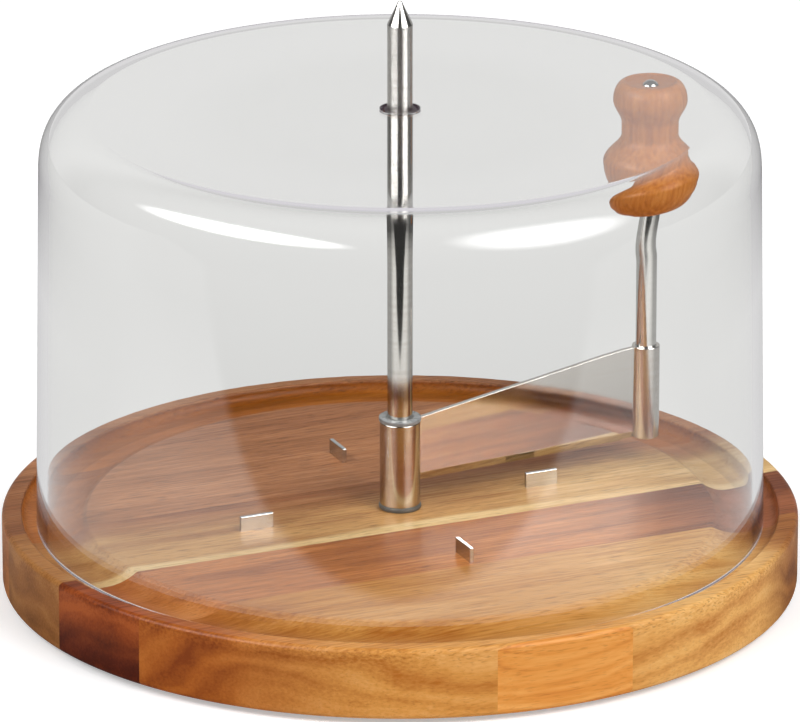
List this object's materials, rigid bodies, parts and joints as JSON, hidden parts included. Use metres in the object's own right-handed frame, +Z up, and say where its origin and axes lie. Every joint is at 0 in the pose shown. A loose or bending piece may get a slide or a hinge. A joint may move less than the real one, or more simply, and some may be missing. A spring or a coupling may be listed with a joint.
{
  "type": "cheese curler",
  "caption": "Cheese curler: round wooden board with a pointed steel spindle and prongs, a cranked scraper blade turning on the spindle, and a clear lift-off cover.",
  "frame": {"origin": "on the table under the spindle, at the middle of the board", "axes": "+Z up along the spindle; +X to the right and -Y towards the viewer of the picture; the staves run 24 degrees from +X and the blade rests 29 degrees from +X"},
  "size_m": [0.22, 0.22, 0.1671],
  "materials": {
    "acacia_honey": "oiled",
    "acacia_red": "oiled",
    "acacia_brown": "oiled",
    "polished_steel": "polished",
    "blade_steel": "fine satin",
    "prong_steel": "satin",
    "zinc_steel": "zinc plated",
    "bush_plastic": "smooth",
    "turned_wood": "satin lacquer",
    "clear_acrylic": "clear, polished",
    "foot_rubber": "matt"
  },
  "bodies": {
    "base": {"board_stave_1": "acacia_honey", "board_stave_2": "acacia_honey", "board_stave_3": "acacia_red", "board_stave_4": "acacia_honey", "board_stave_5": "acacia_brown", "board_stave_6": "acacia_red", "spindle": "polished_steel", "spindle_washer": "zinc_steel", "spindle_nut": "zinc_steel", "prong_1": "prong_steel", "prong_2": "prong_steel", "prong_3": "prong_steel", "prong_4": "prong_steel", "foot_1": "foot_rubber", "foot_2": "foot_rubber", "foot_3": "foot_rubber", "foot_4": "foot_rubber"},
    "bushes": {"lower_bush": "bush_plastic", "upper_bush": "bush_plastic"},
    "scraper": {"hub_sleeve": "polished_steel", "scraper_blade": "blade_steel", "crank_socket": "polished_steel", "crank_rod": "polished_steel", "knob_rivet": "polished_steel"},
    "knob": {"crank_knob": "turned_wood"},
    "lid": {"cover": "clear_acrylic"}
  },
  "joints": [
    {"name": "scraper_lift", "type": "slide", "parent": "base", "child": "bushes", "axis": [0, 0, 1], "range_m": [0, 0.15]},
    {"name": "scraper_turn", "type": "hinge", "parent": "bushes", "child": "scraper", "pos_m": [0, 0, 0.0345], "axis": [0, 0, 1], "continuous": true},
    {"name": "knob_spin", "type": "hinge", "parent": "scraper", "child": "knob", "pos_m": [0.06925, 0.03838, 0.1135], "axis": [0, 0, 1], "continuous": true},
    {"name": "cover_lift", "type": "slide", "parent": "bushes", "child": "lid", "axis": [0, 0, 1], "range_m": [0, 0.16]}
  ]
}
